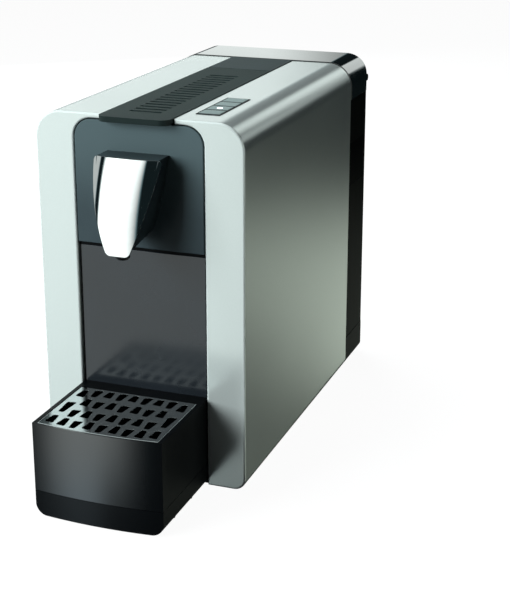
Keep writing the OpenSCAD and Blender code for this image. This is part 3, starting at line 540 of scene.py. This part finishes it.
# %% Cup grille
TRAY_BOW = 340 * MM
GRILLE_TOP = 64.8 * MM
SIDE_RIM, BOW_RIM = 3.1 * MM, 1.8 * MM
tray_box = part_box("drip_tray")
bow_centre = tray_box[0].y + TRAY_BOW


def on_upper_rim(vertex):
    """Whether a vertex of the grille is on the upper edge of its outline, not at a slot."""
    near_side = abs(vertex.co.x) > tray_box[1].x - SIDE_RIM
    near_bow = math.hypot(vertex.co.x, vertex.co.y - bow_centre) > TRAY_BOW - BOW_RIM
    return vertex.co.z > GRILLE_TOP and (near_side or near_bow)


bm = cad_copy("cup_grille")
round_edges(bm, 0.55 * MM, 3, on_upper_rim)
round_edges(bm, 0.3 * MM, 2)
piece("grille_plate", bm, grille_chrome, "cup_grille")

# %% [markdown]
# ## Lever and cover
# The lever is a flat slab with cross grooves for the fingers. Its plastic is matte, with a fine
# spark-eroded grain. A cap covers its hinge, and both lie in a dark well between the side panels.

# %% Lever
softened("lever_slab", "lever", lever_matte, 0.5, 2)
softened("hinge_cap", "hinge_cover", cover_matte, 0.4, 2)
softened("lever_well", "top_channel", well_black, 0.3, 1)

# %% [markdown]
# ## Keys
# Four keys stand in one bezel. Their caps are rounded more than the bezel, as a finger would wish.

# %% Keys
softened("key_surround", "keypad_bezel", black, 0.2, 1)
for number in range(1, 5):
    softened(f"key_cap_{number}", f"key_{number}", key_grey, 0.35, 3)

# %% [markdown]
# ## Tank, its lid and the back wall
# The lid continues the rounded top of the shell. Its top is raised by about half a millimetre,
# less and less down its rounded corners, so that the seam to the shell can be seen. The back wall
# closes the shell, and the tank stands behind it.

# %% Tank
LID_CORNER = 12 * MM
LID_LIFT = 0.45 * MM


def on_lid_front(vertex):
    return vertex.co.y < LID_FRONT + 0.05 * MM


softened("tank_shell", "tank", smoked, 0.5, 2)

bm = cad_copy("tank_lid")
round_edges(bm, 0.2 * MM, 2, on_lid_front)
round_edges(bm, 0.6 * MM, 3)
for v in bm.verts:
    climb = max(0, v.co.z - SHELL_TOP + LID_CORNER) / LID_CORNER
    v.co.z += LID_LIFT * climb**2
piece("tank_cover", bm, lid_black, "tank_lid")

softened("back_wall", "rear_wall", black, 0.4, 2)

# %% [markdown]
# ## Spout body
# Behind the chrome shield stands a plain dark body with the nozzle under it.

# %% Spout body
softened("spout_body", "spout_housing", spout_black, 0.5, 2)
softened("spout_tip", "spout_nozzle", black, 0.3, 2)

# %% [markdown]
# ## Chrome shield of the spout
# The shield is the brightest thing on the machine, so its curvature has to be clean. A flat grid
# is laid into the shield's outline, bowed from top to tip, crowned across, and folded back at two
# soft creases. A grid with many cells keeps the mirror smooth where a sculpted cage would wobble.
# These measures are in millimetres.

# %% Shield outline
SHIELD_Z = (169.0, 228.0)
SHIELD_TIP_X, SHIELD_TOP_X = 7.6, 23.6
SIDE_RADIUS = 220.0
TIP_CORNER, TOP_CORNER = 2.6, 3.0


def bowed_side(z):
    """Half width of the shield at height z, before its corners are rounded."""
    (z0, z1), (x0, x1) = SHIELD_Z, (SHIELD_TIP_X, SHIELD_TOP_X)
    chord = math.hypot(x1 - x0, z1 - z0)
    along = Vector(((x1 - x0) / chord, (z1 - z0) / chord))
    centre = Vector(((x0 + x1) / 2, (z0 + z1) / 2))
    centre += Vector((-along.y, along.x)) * math.sqrt(SIDE_RADIUS**2 - chord**2 / 4)
    return centre.x + math.sqrt(SIDE_RADIUS**2 - (z - centre.y) ** 2)


def corner(distance, radius):
    """How far an outline is set in at that distance from the end, for a rounded corner."""
    left = max(0.0, radius - distance)
    return radius - math.sqrt(radius**2 - left**2)


def shield_half_width(z):
    return bowed_side(z) - corner(z - SHIELD_Z[0], TIP_CORNER) - corner(SHIELD_Z[1] - z, TOP_CORNER)


print("widest at the top:", round(2 * shield_half_width(SHIELD_Z[1] - TOP_CORNER), 1), "mm")

# %% [markdown]
# ## Shield surface
# The bow is an arc with its centre behind the shield. The creases lean inwards on their way down,
# and `log1p` blends the two slopes that meet there. The rows of the grid are closer together near
# the ends, where the corners curve fastest.

# %% Shield surface
BOW_RADIUS = 165.0
BOW_CENTRE = (130.97, 155.8)
CREASE_X, CREASE_LEAN = 16.6, 0.0235
CREASE_TOP = 218
CROWN_RADIUS = 130.0
WING_SLOPE = 0.30
CREASE_SOFTNESS = 1.2
SHIELD_THICK = 1.3
SHIELD_EDGE = 0.55


def shield_front(x, z):
    """How far back the shield's face lies at that place."""
    crease = CREASE_X - (CREASE_TOP - z) * CREASE_LEAN
    fold = CREASE_SOFTNESS * math.log1p(math.exp((abs(x) - crease) / CREASE_SOFTNESS))
    bow = BOW_CENTRE[0] - math.sqrt(BOW_RADIUS**2 - (z - BOW_CENTRE[1]) ** 2)
    return bow - (crease**2 - x**2) / (2 * CROWN_RADIUS) + WING_SLOPE * fold


bm = bmesh.new()
bmesh.ops.create_grid(bm, x_segments=96, y_segments=88, size=1.0)
z_low, z_high = SHIELD_Z
for v in bm.verts:
    z = (z_low + z_high - (z_high - z_low) * math.cos((v.co.y + 1) * math.pi / 2)) / 2
    x = v.co.x * shield_half_width(z)
    v.co = at(x, shield_front(x, z), z)
bmesh.ops.recalc_face_normals(bm, faces=bm.faces)
if sum(f.normal.y * f.calc_area() for f in bm.faces) > 0:
    bmesh.ops.reverse_faces(bm, faces=bm.faces)
bmesh.ops.solidify(bm, geom=bm.faces[:], thickness=SHIELD_THICK * MM)
round_edges(bm, SHIELD_EDGE * MM, 3, least=math.radians(60))
piece("spout_shield", bm, chrome, "spout_cover")

# %% [markdown]
# ## What the metal reflects
# A shiny machine is lit by what it reflects: tall white screens, with black between them, draw the
# soft bands on silver and chrome. Here the world paints those screens for glossy rays alone, by the
# direction in which a ray leaves. The camera sees plain white, and all other light is even. The
# world is left out of light sampling, because only reflections have to find its screens.
#
# Directions are in degrees. `behind` turns from straight back to the right, `in_front` turns from
# straight to the front to the left, and `height` is above or below level. Each screen is a soft
# window in these angles, times its brightness.

# %% Directions and screens
world = bpy.data.worlds.new("studio")
bpy.context.scene.world = world
world.use_nodes = True
world.cycles.sampling_method = "NONE"
sky = Shades(world.node_tree, "Generated")
DEGREES = 180 / math.pi
ray_x, ray_y, ray_z = sky.axes()
behind = ray_x.math("ARCTAN2", ray_x, ray_y) * DEGREES
in_front = ray_x.math("ARCTAN2", ray_x * -1, ray_y * -1) * DEGREES
height = ray_z.math("ARCSINE", ray_z) * DEGREES

tall = in_front.step(9.5, 22) * in_front.step(50, 38) * height.within(-28.5, 40, 3.5)
low = in_front.step(22, 31) * in_front.step(50, 33) * height.within(-33, -25, 3)
upper_glow = height.within(-22, -14, 4) * 1.4
lower_glow = height.within(-26, -18, 4) * 2.4
screens = {
    "behind, to the left": behind.within(-80, -14, 6) * height.within(1, 22, 6) * 1.12,
    "strip behind": behind.within(1.5, 17, 2) * height.within(5, 28, 2) * 1.45,
    "right of the strip": behind.within(19, 33, 2) * height.within(3, 17, 4) * 0.9,
    "low, behind": behind.within(2, 17, 5) * (upper_glow + lower_glow),
    "low, to the right": behind.within(12, 30, 5) * height.within(-22, -14, 4) * 0.5,
    "lowest": behind.within(3, 40, 5) * height.within(-38, -23, 4) * 0.16,
    "front left": tall * (1.35 + height.step(-8, 8) * in_front.step(24, 34)),
    "low, front left": low * 1.05,
    "far left": in_front.within(62, 150, 6) * 0.5,
    "right": behind.within(46, 132, 8) * height.within(-40, 30, 10) * 1.6,
    "overhead": height.step(36, 50) * 0.5,
}
UNLIT_ROOM = 0.012
reflected = sum(screens.values()) + UNLIT_ROOM
print("screens:", ", ".join(screens))

# %% [markdown]
# ## Tints
# White plating never looks quite neutral. Bright screens are a little cool and the dim room
# between them is blue. Low in front, to the left, the light is steel blue. Low behind, to the
# right, it is a slightly warm green.

# %% World
EVEN_LIGHT = 0.03
WHITE = (1, 1, 1, 1)
COOL = (0.93, 1, 0.98, 1)
BLUE = (0.5, 0.9, 1, 1)
WARM = (0.9, 1, 0.86, 1)
STEEL = (0.68, 0.88, 1, 1)
low_front = in_front.step(0, 10) * height.step(-25, -28)
lower_right = behind.step(-5, 5) * height.step(-9, -17)
by_brightness = sky.mix(reflected.step(0.02, 0.5), BLUE, COOL)
screen_colour = sky.mix(lower_right, sky.mix(low_front, by_brightness, STEEL), WARM)

to_camera = sky.rays("Is Camera Ray", "Is Transmission Ray")
to_metal = sky.rays("Is Glossy Ray")
sky_strength = EVEN_LIGHT + to_camera * (1 - EVEN_LIGHT) + to_metal * (reflected - EVEN_LIGHT)
background = world.node_tree.nodes["Background"]
sky.feed(background.inputs["Strength"], sky_strength)
sky.feed(background.inputs["Color"], sky.mix(to_metal, WHITE, screen_colour))
print("even light", EVEN_LIGHT)

# %% [markdown]
# ## Lamps
# The lamps light the matte plastics. The key stands to the left, so that the spout throws its soft
# shadow to the right. The screens already draw the reflections, so no lamp shows in the metal. All
# three lamps are slightly cool.

# %% Lamps
LAMP_COLOUR = (0.93, 1.0, 1.02)


def soft_lamp(name, place, target, size, watts):
    data = bpy.data.lights.new(name, "AREA")
    data.shape = "RECTANGLE"
    data.size, data.size_y = size
    data.energy = watts
    data.color = LAMP_COLOUR
    lamp = bpy.data.objects.new(name, data)
    lamp.location = place
    lamp.rotation_euler = (target - place).to_track_quat("-Z", "Y").to_euler()
    lamp.visible_glossy = False
    bpy.context.scene.collection.objects.link(lamp)
    print(name, watts, "W")


middle = at(0, 80, 120)
soft_lamp("key_lamp", at(-900, -1080, 620), middle, (0.9, 0.9), 31)
soft_lamp("top_lamp", at(-500, 200, 1400), middle, (1.0, 1.0), 17)
soft_lamp("back_lamp", at(-900, 1300, 500), middle, (0.8, 0.8), 16)

# %% [markdown]
# ## Floor
# White paper that keeps a soft shadow under the machine. The camera sees it bright, and mostly
# glowing by itself. For every other ray it is dark grey, so that little light bounces up under the
# machine. It is left out of reflections, where the screens take its place.

# %% Floor
DIM, BRIGHT = (0.11, 0.11, 0.11, 1.0), (0.95, 0.95, 0.95, 1.0)
GLOW_SHARE, GLOW = 0.9, 1.06
FLOOR_HALF = 6.0

paper = Finish("floor_paper")
seen = paper.rays("Is Camera Ray", "Is Transmission Ray")
paper.set(base_color=paper.mix(seen, DIM, BRIGHT), roughness=0.9)
glow = paper.node("ShaderNodeEmission", {}, {"Color": WHITE, "Strength": GLOW})
lit_paper = Value(paper, paper.shader.outputs[0])
surface = paper.node("ShaderNodeMixShader", {}, {0: seen * GLOW_SHARE, 1: lit_paper, 2: glow})
paper.feed(paper.tree.nodes["Material Output"].inputs["Surface"], surface)
bm = bmesh.new()
bmesh.ops.create_grid(bm, x_segments=1, y_segments=1, size=FLOOR_HALF)
floor_mesh = bpy.data.meshes.new("floor")
bm.to_mesh(floor_mesh)
bm.free()
floor_mesh.materials.append(paper.material)
floor = bpy.data.objects.new("floor", floor_mesh)
floor.visible_glossy = False
bpy.context.scene.collection.objects.link(floor)
print("floor", 2 * FLOOR_HALF, "m wide")

# %% [markdown]
# ## Picture settings
# Standard shows the colours as they are, so white stays white.

# %% Picture settings
bpy.context.scene.view_settings.view_transform = "Standard"
